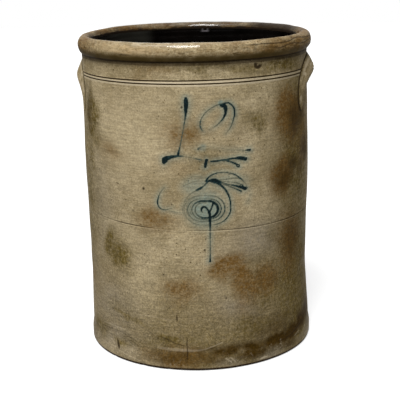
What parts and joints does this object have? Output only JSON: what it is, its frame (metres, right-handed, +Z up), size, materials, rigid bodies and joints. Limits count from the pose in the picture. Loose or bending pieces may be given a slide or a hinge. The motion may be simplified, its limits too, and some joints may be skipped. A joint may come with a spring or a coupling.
{
  "type": "stoneware crock",
  "caption": "Tall cylindrical salt-glazed stoneware storage crock, open at the top, with a rolled rim, applied ear handles, scribed shoulder lines and a dark slip-lined inside.",
  "frame": {"origin": "middle of the flat underside, on the axis the pot was thrown on", "axes": "+Z up along the throwing axis, -Y towards the decorated front, +X and -X towards the ear handles"},
  "size_m": [0.3978, 0.3848, 0.523],
  "materials": {
    "stoneware": "salt glaze, satin to gloss",
    "brown_slip": "glossy dark brown slip"
  },
  "bodies": {
    "root": {"base_pan": "stoneware", "lower_wall": "stoneware", "upper_wall": "stoneware", "rolled_rim": "stoneware", "slip_lining": "brown_slip", "right_handle": "stoneware", "left_handle": "stoneware"}
  },
  "joints": []
}
